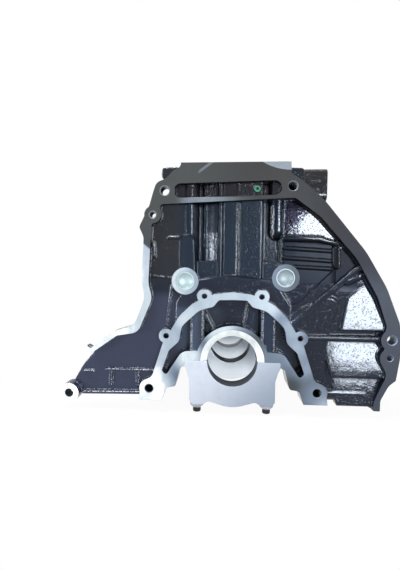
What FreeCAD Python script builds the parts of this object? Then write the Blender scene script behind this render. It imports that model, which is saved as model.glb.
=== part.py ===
# Bare four-cylinder engine block, upright, seen from its gearbox end.
# X runs to the right in that view, Y runs from the gearbox end to the timing end, Z is up.
# The origin is the crankshaft centreline in the plane of the gearbox face. Millimetres.
import FreeCAD
import Part

import math
import os

Vec = FreeCAD.Vector
axis_x = Vec(1, 0, 0)
axis_y = Vec(0, 1, 0)
axis_z = Vec(0, 0, 1)

# Cylinders
cylinder_count = 4
cylinder_pitch = 84.0
cylinder_d = 74.0
liner_wall = 5.4
jacket_gap = 3.8
jacket_wall = 3.8
first_cylinder_y = 57.0
deck_z = 203.0
deck_t = 10.0
deck_half_width = 54.5
jacket_floor_z = 98.0
jacket_flat_gap = 3.5

# Crankshaft housing
main_bore_d = 52.0
rear_main_y = 0.0
rear_main_width = 18.0
main_width = 20.0
arch_r = 37.5
arch_bevel_r = 33.5
arch_bevel_depth = 5.0
crank_clear_r = 74.0
skirt_inner_half = 77.0
pan_rail_z = -42.7
web_t = 9.0
rear_wall_y = 16.5
rear_wall_t = 8.0
rear_jacket_wall_y = 16.0
timing_end = 57.0
front_wall_t = 16.0

# Main bearing caps
cap_half_width = 49.5
cap_register = 5.5
cap_waist_half = 44.5
cap_seat_z = -46.0
cap_keel_z = -47.4
cap_notch_z = -42.5
cap_bolt_x = 36.8
cap_bolt_d = 9.0
cap_hole_clearance = 1.0
cap_bolt_reach = 48.0
cap_bolt_boss_r = 10.0
bolt_flange_r = 7.2
bolt_flange_t = 3.0
bolt_head_across = 10.0
bolt_head_h = 7.4

# Gearbox flange
flange_t = 14.0
web_face_y = 8.0
slot_half_height = 7.2
slot_left = (-61.5, 175.0)
slot_right = (47.0, 177.5)
bolt_hole_d = 8.8
dowel_hole_d = 6.0
ear_centre = (-173.6, -38.0)
ear_r = 10.5
window_margin = 3.0
window_foot_z = 86.0
upper_left_bolt = (-70.8, 175.1)
upper_right_bolt = (57.9, 179.1)
lower_right_bolt = (159.1, 26.0)
upper_dowel = (-83.2, 150.9)
lower_dowel = (157.6, 7.8)

# Seal flange round the rear main bearing
seal_top_bolt = (29.3, 67.7)
seal_side_bolt = (69.0, 25.7)
seal_foot_bolt = (87.0, -30.5)
seal_boss_r = 7.6
seal_foot_boss_r = 10.3
seal_thread_d = 5.2
seal_side_thread_d = 5.6
seal_thread_depth = 14.0

# Core plugs
core_plug_d = 19.6
core_boss_r = 14.0
core_boss_y = 4.0
core_plug_depth = 7.0
core_plug_wall = 1.6
left_core = (-49.9, 83.0)
right_core = (53.5, 87.3)
side_core_plug_d = 30.0
side_core_boss_r = 20.0
side_core_z = 128.0
side_core_stand = 3.0

# Head bolts, dowels and the deck's side pads
head_bolt_x = 45.0
head_bolt_hole_d = 9.0
head_bolt_depth = 70.0
head_column_r = 9.0
right_column_foot_z = 135.0
deck_dowel_d = 13.0
deck_dowel_seat = 9.0
deck_dowel_stand = 6.0
deck_dowel_relief = 0.2
pad_drop = 13.5
water_hole_r = 2.6

# Coolant outlet and inlet
outlet_y = 36.0
outlet_z = 184.0
outlet_boss_half = 16.5
outlet_boss_drop = 16.0
outlet_face_x = 97.0
outlet_bore_r = 9.0
outlet_bore_depth = 33.0
outlet_passage_r = 6.0
outlet_passage_x = 37.0
drain_y = 99.0
drain_z = 109.0
drain_boss_r = 9.5
drain_boss_x = 56.0
drain_thread_d = 10.0
drain_head_across = 13.0
drain_head_h = 6.0
inlet_z = 150.0
inlet_bore_r = 14.0
inlet_boss_r = 20.0

# Oil gallery and filter pad, left side
gallery_x = -60.0
gallery_z = 70.0
gallery_r = 11.0
gallery_bore_d = 12.0
gallery_end_y = 70.0
gallery_plug_t = 10.0
drilling_r = 2.5
passage_plug_d = 6.6
passage_plug_t = 6.0
passage_plug_at = (23.3, 177.8)
drain_face_y = 6.2
filter_y = 225.0
filter_z = 30.0
filter_pad_r = 36.0
filter_pad_x = -104.0
filter_stud_d = 19.0
filter_stud_seat_d = 21.0
filter_stud_bore_d = 11.0
filter_stud_stand = 14.0
filter_stud_seat = 14.0

# Engine mount pad, right side
mount_pad_y = (150.0, 232.0)
mount_pad_z = (8.0, 66.0)
mount_pad_x = 98.0
mount_hole_d = 8.6
mount_hole_inset = 12.0
mount_hole_depth = 22.0

# Timing end and pan rail
timing_rail = 10.0
timing_pocket = 6.0
timing_wall_t = 16.0
small_thread_d = 5.0
small_thread_depth = 12.0
timing_rail_thread_depth = 8.0
timing_dowel_d = 6.0
timing_dowel_seat_d = 6.4
timing_dowel_z = 139.0
timing_dowel_seat = 8.0
timing_dowel_stand = 6.0
pan_bolt_x = 91.0
pan_bolt_count = 6
pan_bolt_first_y = 34.0
pan_bolt_last_inset = 16.0
rib_t = 6.0
rib_height = 4.0


def box(x0, x1, y0, y1, z0, z1):
    return Part.makeBox(x1 - x0, y1 - y0, z1 - z0, Vec(x0, y0, z0))


def bar_x(y, z, r, x0, x1):
    return Part.makeCylinder(r, x1 - x0, Vec(x0, y, z), axis_x)


def bar_y(x, z, r, y0, y1):
    return Part.makeCylinder(r, y1 - y0, Vec(x, y0, z), axis_y)


def bar_z(x, y, r, z0, z1):
    return Part.makeCylinder(r, z1 - z0, Vec(x, y, z0), axis_z)


def cone_y(x, z, r0, r1, y0, y1):
    return Part.makeCone(r0, r1, y1 - y0, Vec(x, y0, z), axis_y)


def mirrored_outline(points):
    # A half outline given from the top down, closed by its mirror image
    return points + [(-x, z, r) for x, z, r in reversed(points) if x > 0]


def rounded_wire(points, y):
    # Closed outline of (x, z, corner radius) points in the plane at y
    corners = [Vec(x, y, z) for x, z, r in points]
    count = len(points)
    ends = []
    for i, (x, z, r) in enumerate(points):
        here = corners[i]
        back = corners[i - 1] - here
        ahead = corners[(i + 1) % count] - here
        if r <= 0:
            ends.append((here, here, here))
            continue
        half = back.getAngle(ahead) / 2
        run = min(r / math.tan(half), 0.49 * back.Length, 0.49 * ahead.Length)
        true_r = run * math.tan(half)
        back.normalize()
        ahead.normalize()
        middle = (back + ahead).normalize()
        summit = here + middle * (true_r / math.sin(half) - true_r)
        ends.append((here + back * run, summit, here + ahead * run))
    edges = []
    for i, (start, summit, end) in enumerate(ends):
        if (end - start).Length > 1e-6:
            edges.append(Part.Arc(start, summit, end).toShape())
        following = ends[(i + 1) % count][0]
        if (following - end).Length > 1e-6:
            edges.append(Part.makeLine(end, following))
    return Part.Wire(edges)


def plate(points, y0, y1):
    face = Part.Face(rounded_wire(points, y0))
    return face.extrude(Vec(0, y1 - y0, 0))


def joined(shapes):
    return shapes[0].multiFuse(shapes[1:]).removeSplitter()


def eased(shape, y, r):
    # Rounds the edges of a cast pad that lie in its front plane
    front = [e for e in shape.Edges if all(abs(v.Y - y) < 1e-6 for v in e.Vertexes)]
    return shape.makeFillet(r, front)


def cast_pad(points, y0, y1, ease):
    return eased(plate(points, y0, y1), y0, ease)


def sloping_pad(points, y_foot, slope, ease):
    # Pad on the flange web whose front leans back with height, by slope in each millimetre
    foot_z = min(z for x, z in points)
    front = [Vec(x, y_foot + slope * (z - foot_z), z) for x, z in points]
    pad = Part.Face(Part.makePolygon(front + front[:1])).extrude(Vec(0, 2 * flange_t, 0))
    edges = [e for e in pad.Edges if all(v.Y < flange_t for v in e.Vertexes)]
    return pad.makeFillet(ease, edges).common(box(0, 200, -1, flange_t, -100, 100))


def stadium(x0, z0, x1, z1, width, y0, y1):
    run = Vec(x1 - x0, 0, z1 - z0)
    side = Vec(-run.z, 0, run.x).normalize() * (width / 2)
    a = Vec(x0, y0, z0)
    b = Vec(x1, y0, z1)
    edges = [
        Part.makeLine(a + side, b + side),
        Part.Arc(b + side, b + run.normalize() * (width / 2), b - side).toShape(),
        Part.makeLine(b - side, a - side),
        Part.Arc(a - side, a - run * (width / 2), a + side).toShape(),
    ]
    return Part.Face(Part.Wire(edges)).extrude(Vec(0, y1 - y0, 0))


def rib(x0, z0, x1, z1, width, y0, y1):
    # Cast rib with round ends and a round crest
    return eased(stadium(x0, z0, x1, z1, width, y0, y1), y0, 0.42 * width)


cylinder_r = cylinder_d / 2
liner_r = cylinder_r + liner_wall
jacket_r = liner_r + jacket_gap
outer_r = jacket_r + jacket_wall
main_bore_r = main_bore_d / 2
cylinder_ys = [first_cylinder_y + i * cylinder_pitch for i in range(cylinder_count)]
front_face_y = cylinder_ys[-1] + timing_end
main_centres = [rear_main_y + rear_main_width / 2]
main_centres += [first_cylinder_y + (i - 0.5) * cylinder_pitch for i in range(1, cylinder_count + 1)]
main_widths = [rear_main_width] + [main_width] * cylinder_count
mains = list(zip(main_centres, main_widths))
head_column_ys = [first_cylinder_y + (i - 0.5) * cylinder_pitch for i in range(cylinder_count + 1)]
head_bolts = [(x, y) for y in head_column_ys for x in (-head_bolt_x, head_bolt_x)]
deck_dowels_at = [(-head_bolt_x, head_column_ys[-1]), (head_bolt_x, head_column_ys[1])]
side_core_face_x = outer_r + side_core_stand
timing_rail_x = deck_half_width - timing_rail / 2
timing_dowels_at = [(-timing_rail_x, timing_dowel_z), (timing_rail_x, timing_dowel_z)]
cylinder_foot_z = 60.0
window_half = head_bolt_x + window_margin


# Outline of the whole gearbox flange, clockwise from the deck's left corner
flange_outline = [
    (-53.3, deck_z, 0.8), (-56.4, 197.5, 2), (-62.5, 195.0, 8), (-69.6, 187.1, 12), (-79.5, 183.5, 9),
    (-83.4, 171.7, 12), (-86.7, 160.0, 20), (-97.3, 138.5, 5), (-92.6, 128.0, 12), (-94.8, 84.0, 40),
    (-91.5, 65.0, 22), (-102.5, 36.5, 14), (-126.0, 28.8, 20), (-150.5, 10.0, 0.5),
    (-148.5, 5.2, 0.5), (-160.0, -8.0, 40), (-171.0, -27.0, 3), (-171.0, -36.0, 0), (-161.5, -41.0, 0),
    (-98.0, -39.4, 0), (98.0, -39.4, 0), (130.0, -39.2, 14), (143.0, -46.8, 6), (149.8, -47.0, 0.8),
    (149.8, -36.0, 10), (157.5, -20.5, 14), (164.2, -15.0, 2), (167.5, 8.0, 12), (169.6, 26.0, 8),
    (165.5, 44.0, 12), (152.0, 78.5, 60), (131.0, 114.0, 80), (88.5, 165.8, 60), (68.0, 184.0, 30),
    (56.2, 191.5, 1.5), (55.7, deck_z, 0.8),
]

# Edge of the machined rim, walls of the pocket behind it; it runs out past the lower left web
pocket_outline = [
    (-76.8, 161.3, 3.5), (-73.4, 150.0, 7), (-84.6, 140.5, 4), (-87.8, 80.0, 30), (-83.6, 64.5, 16),
    (-98.8, 28.6, 12), (-121.0, 25.0, 5), (-147.0, 6.8, 0), (-190.0, -4.0, 0), (-190.0, -60.0, 0),
    (143.0, -60.0, 0), (143.3, -38.0, 10), (149.0, -24.0, 14), (155.6, -10.0, 12), (147.2, 6.0, 8),
    (152.3, 17.5, 5), (148.3, 28.0, 8), (154.0, 38.0, 9), (144.0, 68.0, 40), (122.0, 107.5, 60),
    (86.0, 148.5, 40), (60.5, 167.5, 7),
]

# Right half of the seal flange and its two bearing legs, from the crown down to the foot
seal_outline_half = [
    (0.0, 72.3, 0), (20.0, 70.0, 40), (41.0, 60.5, 30), (55.5, 46.5, 30), (64.0, 32.0, 8), (71.5, 21.0, 12),
    (84.0, -18.0, 8), (95.5, -23.0, 8), (97.7, pan_rail_z, 0),
]

# Right half of the sunk crescent between the seal flange and the bearing arch
crescent_half = [
    (0.0, 64.3, 0), (14.5, 63.8, 4), (20.0, 57.0, 5), (34.5, 53.0, 16), (53.0, 36.0, 14), (55.2, 20.5, 9),
    (66.0, 10.5, 6), (73.5, -11.0, 2.6), (69.0, -16.0, 2.6), (54.0, 7.3, 9), (49.5, 9.8, 8), (39.0, 10.8, 5),
]

# Right half of the opening that the bearing cap sits in, from the joint down past the foot
leg_opening_half = [
    (cap_half_width, 0.0, 0), (cap_half_width, -cap_register, 1.0), (54.0, -7.0, 5), (59.0, -27.5, 3.5),
    (69.0, -29.0, 5), (73.6, -43.0, 0), (75.0, -60.0, 0),
]

# Right half of the crankcase's outer section, from the cylinders down to the pan rail
crankcase_half = [
    (48.0, 104.0, 6), (57.0, 70.0, 20), (74.0, 46.0, 24), (83.5, 14.0, 30), (86.5, -26.0, 10),
    (97.7, -31.5, 4), (97.7, pan_rail_z, 0),
]

# Right half of a main bearing cap below the joint
cap_outline_half = [
    (cap_half_width, 0.0, 0.6), (cap_half_width, -cap_register, 2.5), (47.0, -11.0, 6),
    (cap_waist_half, -20.0, 10), (cap_waist_half, -41.5, 2), (41.5, cap_seat_z, 1.2),
    (31.5, cap_seat_z, 1.2), (24.0, cap_notch_z + 0.3, 5), (0.0, cap_keel_z - 2.0, 40),
]


def gearbox_flange():
    ear = bar_y(ear_centre[0], ear_centre[1], ear_r, 0, flange_t)
    slot = stadium(slot_left[0] + slot_half_height, slot_left[1], slot_right[0] - slot_half_height,
                   slot_right[1], 2 * slot_half_height, -1, flange_t + 1)
    rim = plate(flange_outline, 0, flange_t).cut([plate(pocket_outline, -1, flange_t + 1), slot])
    web = plate(flange_outline, web_face_y, flange_t)
    window = box(-window_half, window_half, 0, flange_t + 1, window_foot_z, deck_z - deck_t)
    bosses = [
        bar_y(upper_left_bolt[0], upper_left_bolt[1], 10.5, 0, flange_t),
        bar_y(upper_dowel[0], upper_dowel[1], 8.8, 0, flange_t),
        bar_y(lower_right_bolt[0], lower_right_bolt[1], 10.8, 0, flange_t),
        bar_y(lower_dowel[0], lower_dowel[1], 9.8, 0, flange_t),
    ]
    tab = rib(-155.5, 11.5, -146.5, 6.5, 2.2, web_face_y, flange_t)
    return [rim, web.cut(window), ear, tab] + bosses


def pocket_ribs():
    # Stiffening ribs and steps cast on the flange web
    front = 3.5
    right = [
        rib(60, 38, 126, 98, 6, front, flange_t),
        rib(76, 26, 150, 26, 6, front, flange_t),
        rib(52, 128, 88, 127, 7, 2.5, flange_t),
        rib(86, 127, 104, 122, 6, 2.5, flange_t),
        rib(52, 118, 98, 115, 5, 4.5, flange_t),
        rib(52, 108, 98, 105, 5, 4.5, flange_t),
        rib(60, 99, 98, 97, 5, 4.5, flange_t),
        rib(103, 117, 104, 101, 9, 3.0, flange_t).cut(stadium(103, 117, 104, 101, 4, 2, 4.6)),
        rib(116, 84, 128, 90, 7, 4, flange_t),
        rib(98, -33, 136, -33, 12, 5, flange_t),
    ]
    pad = [(50, 126, 3), (103, 122, 6), (108, 110, 8), (103, 96, 6), (66, 60, 8), (50, 60, 3)]
    flank = [(70, 58, 4), (112, 74, 8), (99, 34, 6), (96, 0, 12), (98, -40, 0), (60, -40, 0), (50, 40, 3)]
    left = [
        rib(-64, 78, -69, 36, 2.6, 4, flange_t),
        rib(-84, 87.5, -62, 85.5, 2.4, 4.5, flange_t),
        rib(-68, 128, -50, 128, 3, 5, flange_t),
        rib(-134, -13, -82, -13, 2.6, 4.5, flange_t),
        rib(-158, -15.5, -149, -15.5, 2.6, 5, flange_t),
        rib(-130, -13, -130, -29, 4, 5, flange_t),
        rib(-101, -13, -101, -29, 4, 5, flange_t),
        rib(-159, -38.2, -96, -36.8, 3.6, 3, flange_t + 6),
        rib(-47, 68, -40, 56, 7, 4.5, flange_t),
        rib(-83.5, 123, -82.2, 108, 2.6, 5.2, flange_t),
    ]
    right += [
        sloping_pad([(109.5, 34), (116.8, 67), (130, 79), (142, 82), (149, 68), (158, 34)], 3.4, 0.1, 1.2),
        sloping_pad([(102, -14), (96, 4), (96, 22), (157, 22), (160, -14)], 2.4, 0.155, 1.2),
        sloping_pad([(108, -44), (103, -30), (105, -17), (152, -17), (150, -44)], 3.0, 0.18, 1.2),
    ]
    return right + left + [cast_pad(pad, 6.0, flange_t, 1.8), cast_pad(flank, 5.6, flange_t, 2.2)]


def rear_jacket_ribs():
    # Vertical ribs and the flat oil drain cast on the rear of the first cylinder's jacket
    top = deck_z - 1
    foot = window_foot_z - 2
    shapes = [box(-window_half, window_half, rear_jacket_wall_y, 26, foot, top)]
    for x, r in ((-28.5, 4.0), (-13.5, 3.2), (4.5, 2.2), (30.5, 2.4)):
        wall_y = first_cylinder_y - math.sqrt(outer_r ** 2 - x ** 2)
        shapes.append(bar_z(x, wall_y + 0.5, r, foot, top))
    drain = box(6.0, 30, drain_face_y, 24, foot, top)
    shapes.append(drain.makeFillet(2.0, [e for e in drain.Edges if e.BoundBox.YMax < drain_face_y + 0.1
                                         and e.BoundBox.ZLength > 1]))
    y = head_column_ys[0]
    shapes.append(bar_z(-head_bolt_x, y, head_column_r, foot, top))
    shapes.append(bar_z(head_bolt_x, y, head_column_r, right_column_foot_z, top))
    shapes.append(Part.makeSphere(head_column_r, Vec(head_bolt_x, y, right_column_foot_z)))
    left_shoulder = [(-56, 132, 6), (-39.5, 132, 9), (-37.5, foot, 0), (-56, foot, 0)]
    shapes.append(cast_pad(left_shoulder, 4.5, 20, 2.5))
    dome = [(-44, 84, 6), (0, 90.5, 60), (44, 84, 6), (60, 60, 8), (60, 20, 0), (-60, 20, 0), (-60, 60, 8)]
    shapes.append(cast_pad(dome, 4.2, 22, 2.5))
    return shapes


def seal_flange():
    back = rear_wall_y + rear_wall_t
    shapes = [plate(mirrored_outline(seal_outline_half), 0, back)]
    for x, z, r in (seal_top_bolt + (seal_boss_r,), seal_side_bolt + (seal_boss_r,),
                    seal_foot_bolt + (seal_foot_boss_r,)):
        shapes += [bar_y(side * x, z, r, 0, back) for side in (-1, 1)]
    return shapes


def crescent_cut():
    outline = mirrored_outline(crescent_half)
    arch = bar_y(0, 0, arch_r, -2, rear_wall_y + 1)
    return plate(outline, -1, rear_wall_y).cut(arch)


def crescent_ribs():
    # Bolt columns of the rear cap and the small ribs between arch and seal flange
    back = rear_wall_y + 1
    column_r = cap_bolt_boss_r - 1.5
    columns = [bar_z(side * cap_bolt_x, mains[0][0], column_r, 8, 54) for side in (-1, 1)]
    return columns + [
        rib(-30, 50, -20, 32, 4, 9, back),
        rib(17, 60, 12, 34, 3, 11, back),
    ]


def crankcase_outline(grow):
    # Outer section of the crankcase, thicker by the given amount above the pan rail
    count = len(crankcase_half)
    half = [(x + (grow if i < count - 2 else 0), z, r) for i, (x, z, r) in enumerate(crankcase_half)]
    return mirrored_outline(half)


def crankcase():
    shapes = [plate(crankcase_outline(0), web_face_y, front_face_y)]
    for centre in main_centres[1:-1]:
        shapes.append(plate(crankcase_outline(rib_height), centre - rib_t / 2, centre + rib_t / 2))
    for side in (-1, 1):
        shapes.append(bar_y(side * 84.5, 4, rib_height + 1, flange_t, front_face_y))
    return joined(shapes)


def crankcase_bays():
    bays = []
    starts = [rear_wall_y + rear_wall_t] + [y + web_t / 2 for y in main_centres[1:-1]]
    ends = [y - web_t / 2 for y in main_centres[1:-1]] + [front_face_y - front_wall_t]
    for y0, y1 in zip(starts, ends):
        arch = bar_y(0, 0, crank_clear_r, y0, y1)
        legs = box(-skirt_inner_half, skirt_inner_half, y0, y1, pan_rail_z - 20, 0)
        bays.append(arch.fuse(legs))
    return bays


def bearing_saddles():
    shapes = []
    for centre, width in mains[1:]:
        y0 = centre - width / 2
        y1 = centre + width / 2
        shapes.append(bar_y(0, 0, arch_r, y0, y1))
        shapes.append(box(-cap_half_width - 5, cap_half_width + 5, y0, y1, -cap_register, 12))
        shapes += [bar_z(side * cap_bolt_x, centre, cap_bolt_boss_r, 0, 60) for side in (-1, 1)]
    return shapes


def cylinder_bank():
    foot_z = jacket_floor_z - 30
    half = outer_r - jacket_flat_gap
    shapes = [bar_z(0, y, outer_r, foot_z, deck_z) for y in cylinder_ys]
    shapes.append(box(-half, half, cylinder_ys[0] - 24, cylinder_ys[-1] + 24, foot_z, deck_z))
    shapes += [bar_z(x, y, head_column_r, cylinder_foot_z, deck_z) for x, y in head_bolts[2:]]
    shapes.append(box(-deck_half_width, deck_half_width, 0, front_face_y, deck_z - deck_t, deck_z))
    shapes.append(box(-deck_half_width, deck_half_width, front_face_y - timing_wall_t, front_face_y,
                      foot_z, deck_z))
    return shapes


def water_jacket():
    half = jacket_r - jacket_flat_gap
    z0 = jacket_floor_z
    z1 = deck_z - deck_t
    spaces = [bar_z(0, y, jacket_r, z0, z1) for y in cylinder_ys]
    spaces.append(box(-half, half, cylinder_ys[0], cylinder_ys[-1], z0, z1))
    keep = [bar_z(0, y, liner_r, z0 - 1, z1 + 1) for y in cylinder_ys]
    keep += [bar_z(x, y, head_column_r, z0 - 1, z1 + 1) for x, y in head_bolts]
    return joined(spaces).cut(keep)


def deck_holes():
    holes = []
    ring_r = (liner_r + jacket_r) / 2
    for y in cylinder_ys:
        for angle in (0, 50, 130, 180, 230, 310):
            a = math.radians(angle)
            holes.append(bar_z(ring_r * math.cos(a), y + ring_r * math.sin(a), water_hole_r,
                               deck_z - deck_t - 1, deck_z + 1))
    for x, y in head_bolts:
        holes.append(bar_z(x, y, head_bolt_hole_d / 2, deck_z - head_bolt_depth, deck_z + 1))
    for x, y in deck_dowels_at:
        holes.append(bar_z(x, y, deck_dowel_d / 2, deck_z - deck_dowel_seat, deck_z + 1))
    return holes


def deck_side_pads():
    left = cast_pad([(-50, deck_z, 0), (-76.5, deck_z, 4), (-77, deck_z - pad_drop, 5),
                     (-50, deck_z - pad_drop, 0)], 14, 42, 2.0)
    ledge = cast_pad([(48, deck_z, 0), (73.5, deck_z - 1, 4), (73.5, outlet_z, 4), (48, outlet_z, 0)],
                     18, outlet_y + outlet_boss_half, 2.0)
    outlet = box(44, outlet_face_x, outlet_y - outlet_boss_half, outlet_y + outlet_boss_half,
                 outlet_z - outlet_boss_drop, deck_z - 1)
    long_edges = [e for e in outlet.Edges if e.BoundBox.XLength > 1]
    return [left, ledge, outlet.makeFillet(6.0, long_edges)]


def side_core_holes():
    # Bosses for the side core plugs, with their bores through the jacket wall
    shapes = []
    holes = []
    reach = side_core_face_x
    for side, ys in ((-1, cylinder_ys[:3]), (1, cylinder_ys[1:])):
        for y in ys:
            x0, x1 = sorted((side * (reach - 14), side * reach))
            shapes.append(bar_x(y, side_core_z, side_core_boss_r, x0, x1))
            x0, x1 = sorted((side * (liner_r + 1), side * (reach + 1)))
            holes.append(bar_x(y, side_core_z, side_core_plug_d / 2, x0, x1))
    return shapes, holes


def oil_side():
    gallery = bar_y(gallery_x, gallery_z, gallery_r, flange_t - 2, front_face_y)
    pad = bar_x(filter_y, filter_z, filter_pad_r, filter_pad_x, -70)
    neck = box(-96, -66, filter_y - 12, filter_y + 12, filter_z, gallery_z)
    return [gallery, pad, neck]


def oil_holes():
    holes = [bar_y(gallery_x, gallery_z, gallery_bore_d / 2, gallery_end_y, front_face_y + 1)]
    for centre in main_centres[1:]:
        start = Vec(gallery_x, centre, gallery_z)
        run = Vec(0, centre, 0) - start
        holes.append(Part.makeCylinder(drilling_r, run.Length, start, run))
    seat_x = filter_pad_x + filter_stud_seat
    holes.append(bar_x(filter_y, filter_z, filter_stud_seat_d / 2, filter_pad_x - 1, seat_x))
    holes.append(bar_x(filter_y, filter_z, filter_stud_bore_d / 2, filter_pad_x, filter_pad_x + 24))
    groove = bar_x(filter_y, filter_z, filter_pad_r - 4, filter_pad_x - 1, filter_pad_x + 3)
    hub = bar_x(filter_y, filter_z, filter_stud_seat_d / 2 + 6, filter_pad_x - 2, filter_pad_x + 4)
    holes.append(groove.cut(hub))
    return holes


def mount_pad():
    y0, y1 = mount_pad_y
    z0, z1 = mount_pad_z
    pad = box(60, mount_pad_x, y0, y1, z0, z1)
    upright = [e for e in pad.Edges if abs(e.tangentAt(e.FirstParameter).x) > 0.9]
    return pad.makeFillet(9, upright)


def mount_holes():
    y0, y1 = mount_pad_y
    z0, z1 = mount_pad_z
    inset = mount_hole_inset
    return [bar_x(y, z, mount_hole_d / 2, mount_pad_x - mount_hole_depth, mount_pad_x + 1)
            for y in (y0 + inset, y1 - inset) for z in (z0 + inset, z1 - inset)]


def timing_pocket_cut():
    inner = deck_half_width - timing_rail
    half = [(inner, deck_z - timing_rail, 6), (inner, 112, 12), (62, 58, 20), (74, 14, 30),
            (77, pan_rail_z - 20, 0)]
    return plate(mirrored_outline(half), front_face_y - timing_pocket, front_face_y + 1)


def timing_holes():
    # The upper screws stop short of the head bolt holes behind them
    upper = [(timing_rail_x, deck_z - 6), (timing_rail_x, 160)]
    lower = [(timing_rail_x + 0.5, 118), (68.8, 46), (76.6, 20), (82, -20)]
    holes = [bar_y(side * x, z, small_thread_d / 2, front_face_y - depth, front_face_y + 1)
             for spots, depth in ((upper, timing_rail_thread_depth), (lower, small_thread_depth))
             for x, z in spots for side in (-1, 1)]
    holes += [bar_y(x, z, timing_dowel_seat_d / 2, front_face_y - timing_dowel_seat, front_face_y + 1)
              for x, z in timing_dowels_at]
    holes.append(bar_y(0, inlet_z, inlet_bore_r, cylinder_ys[-1] + liner_r, front_face_y + 1))
    return holes


def pan_rail_holes():
    step = (front_face_y - pan_bolt_last_inset - pan_bolt_first_y) / (pan_bolt_count - 1)
    top = pan_rail_z + small_thread_depth
    return [bar_z(side * pan_bolt_x, pan_bolt_first_y + i * step, small_thread_d / 2, pan_rail_z - 1, top)
            for i in range(pan_bolt_count) for side in (-1, 1)]


def through_hole(at, d, depth, chamfer=1.0):
    # Hole along Y from the gearbox face with a chamfered mouth
    x, z = at
    hole = bar_y(x, z, d / 2, -1, depth)
    return hole.fuse(cone_y(x, z, d / 2 + chamfer, d / 2, 0, chamfer))


def gearbox_holes():
    behind = flange_t + 2
    holes = [
        through_hole(upper_left_bolt, bolt_hole_d, behind),
        through_hole(upper_right_bolt, bolt_hole_d, behind, 0.8),
        through_hole(lower_right_bolt, bolt_hole_d, behind),
        through_hole(ear_centre, bolt_hole_d, behind, 0.4),
        through_hole(upper_dowel, dowel_hole_d, behind, 1.2),
        through_hole(lower_dowel, dowel_hole_d, behind, 0.6),
    ]
    foot_x, foot_z = seal_foot_bolt
    for side in (-1, 1):
        holes.append(through_hole((side * foot_x, foot_z), bolt_hole_d, 30, 0.5))
        for (x, z), d in ((seal_top_bolt, seal_thread_d), (seal_side_bolt, seal_side_thread_d)):
            holes.append(through_hole((side * x, z), d, seal_thread_depth, 0.4))
    for x, z in (left_core, right_core):
        holes.append(bar_y(x, z, core_plug_d / 2, -1, core_boss_y + core_plug_depth + 3))
    x, z = passage_plug_at
    holes.append(bar_y(x, z, passage_plug_d / 2, 0, drain_face_y + passage_plug_t))
    return holes


def bearing_cuts():
    cuts = [bar_y(0, 0, main_bore_r, -1, front_face_y + 1)]
    cuts.append(cone_y(0, 0, arch_bevel_r, main_bore_r, 0, arch_bevel_depth))
    cuts.append(plate(mirrored_outline(leg_opening_half), -1, front_face_y + 1))
    for centre in main_centres:
        cuts += [bar_z(side * cap_bolt_x, centre, cap_bolt_d / 2, -1, cap_bolt_reach + 3) for side in (-1, 1)]
    return cuts


def cylinder_block():
    core_shapes, core_holes = side_core_holes()
    bosses = [bar_y(x, z, core_boss_r, core_boss_y, 24) for x, z in (left_core, right_core)]
    outside = [crankcase()] + cylinder_bank() + core_shapes + deck_side_pads() + oil_side() + [mount_pad()]
    outside += gearbox_flange() + pocket_ribs() + rear_jacket_ribs() + seal_flange() + bosses
    outside.append(bar_x(drain_y, drain_z, drain_boss_r, outer_r - jacket_flat_gap - 1, drain_boss_x))
    body = joined(outside)
    body = body.cut(crankcase_bays() + [crescent_cut(), timing_pocket_cut()])
    inlet_boss = bar_y(0, inlet_z, inlet_boss_r, front_face_y - timing_wall_t, front_face_y)
    body = joined([body, inlet_boss] + bearing_saddles() + crescent_ribs())
    cuts = [water_jacket()] + bearing_cuts() + deck_holes() + core_holes + oil_holes() + mount_holes()
    cuts += timing_holes() + pan_rail_holes() + gearbox_holes()
    cuts += [bar_z(0, y, cylinder_r, cylinder_foot_z, deck_z + 1) for y in cylinder_ys]
    cuts.append(bar_x(outlet_y, outlet_z, outlet_bore_r, outlet_face_x - outlet_bore_depth, outlet_face_x + 1))
    cuts.append(bar_x(outlet_y, outlet_z, outlet_passage_r, outlet_passage_x, outlet_face_x))
    cuts.append(bar_x(drain_y, drain_z, drain_thread_d / 2, liner_r, drain_boss_x + 1))
    return body.cut(cuts)


def main_bearing_cap(centre, width):
    y0 = centre - width / 2
    cap = plate(mirrored_outline(cap_outline_half), y0, y0 + width)
    holes = [bar_y(0, 0, main_bore_r, y0 - 1, y0 + width + 1)]
    hole_r = cap_bolt_d / 2 + cap_hole_clearance / 2
    holes += [bar_z(side * cap_bolt_x, centre, hole_r, -70, 1) for side in (-1, 1)]
    return cap.cut(holes)


def cap_bolt(x, y):
    corner = bolt_head_across / math.sqrt(3)
    under = cap_seat_z - bolt_flange_t
    points = [Vec(x + corner * math.cos(math.radians(a)), y + corner * math.sin(math.radians(a)), under)
              for a in range(0, 360, 60)]
    head = Part.Face(Part.makePolygon(points + points[:1])).extrude(Vec(0, 0, -bolt_head_h))
    flange = Part.makeCone(corner, bolt_flange_r, bolt_flange_t, Vec(x, y, under), axis_z)
    shank = bar_z(x, y, cap_bolt_d / 2, cap_seat_z, cap_bolt_reach)
    return joined([head, flange, shank])


def cup_plug(d, wall, depth):
    # Pressed cup with a dished floor, mouth at the origin facing -Y
    outer = bar_y(0, 0, d / 2, 0, depth)
    inner_r = d / 2 - wall
    dish_r = inner_r * 1.6
    floor_y = depth - wall
    dish = Part.makeSphere(dish_r, Vec(0, floor_y - dish_r, 0))
    bowl = dish.common(bar_y(0, 0, inner_r, -1, depth))
    return outer.cut(bowl)


def placed(shape, at, turn=0):
    shape = shape.copy()
    shape.rotate(Vec(0, 0, 0), axis_z, turn)
    shape.translate(at)
    return shape


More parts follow.
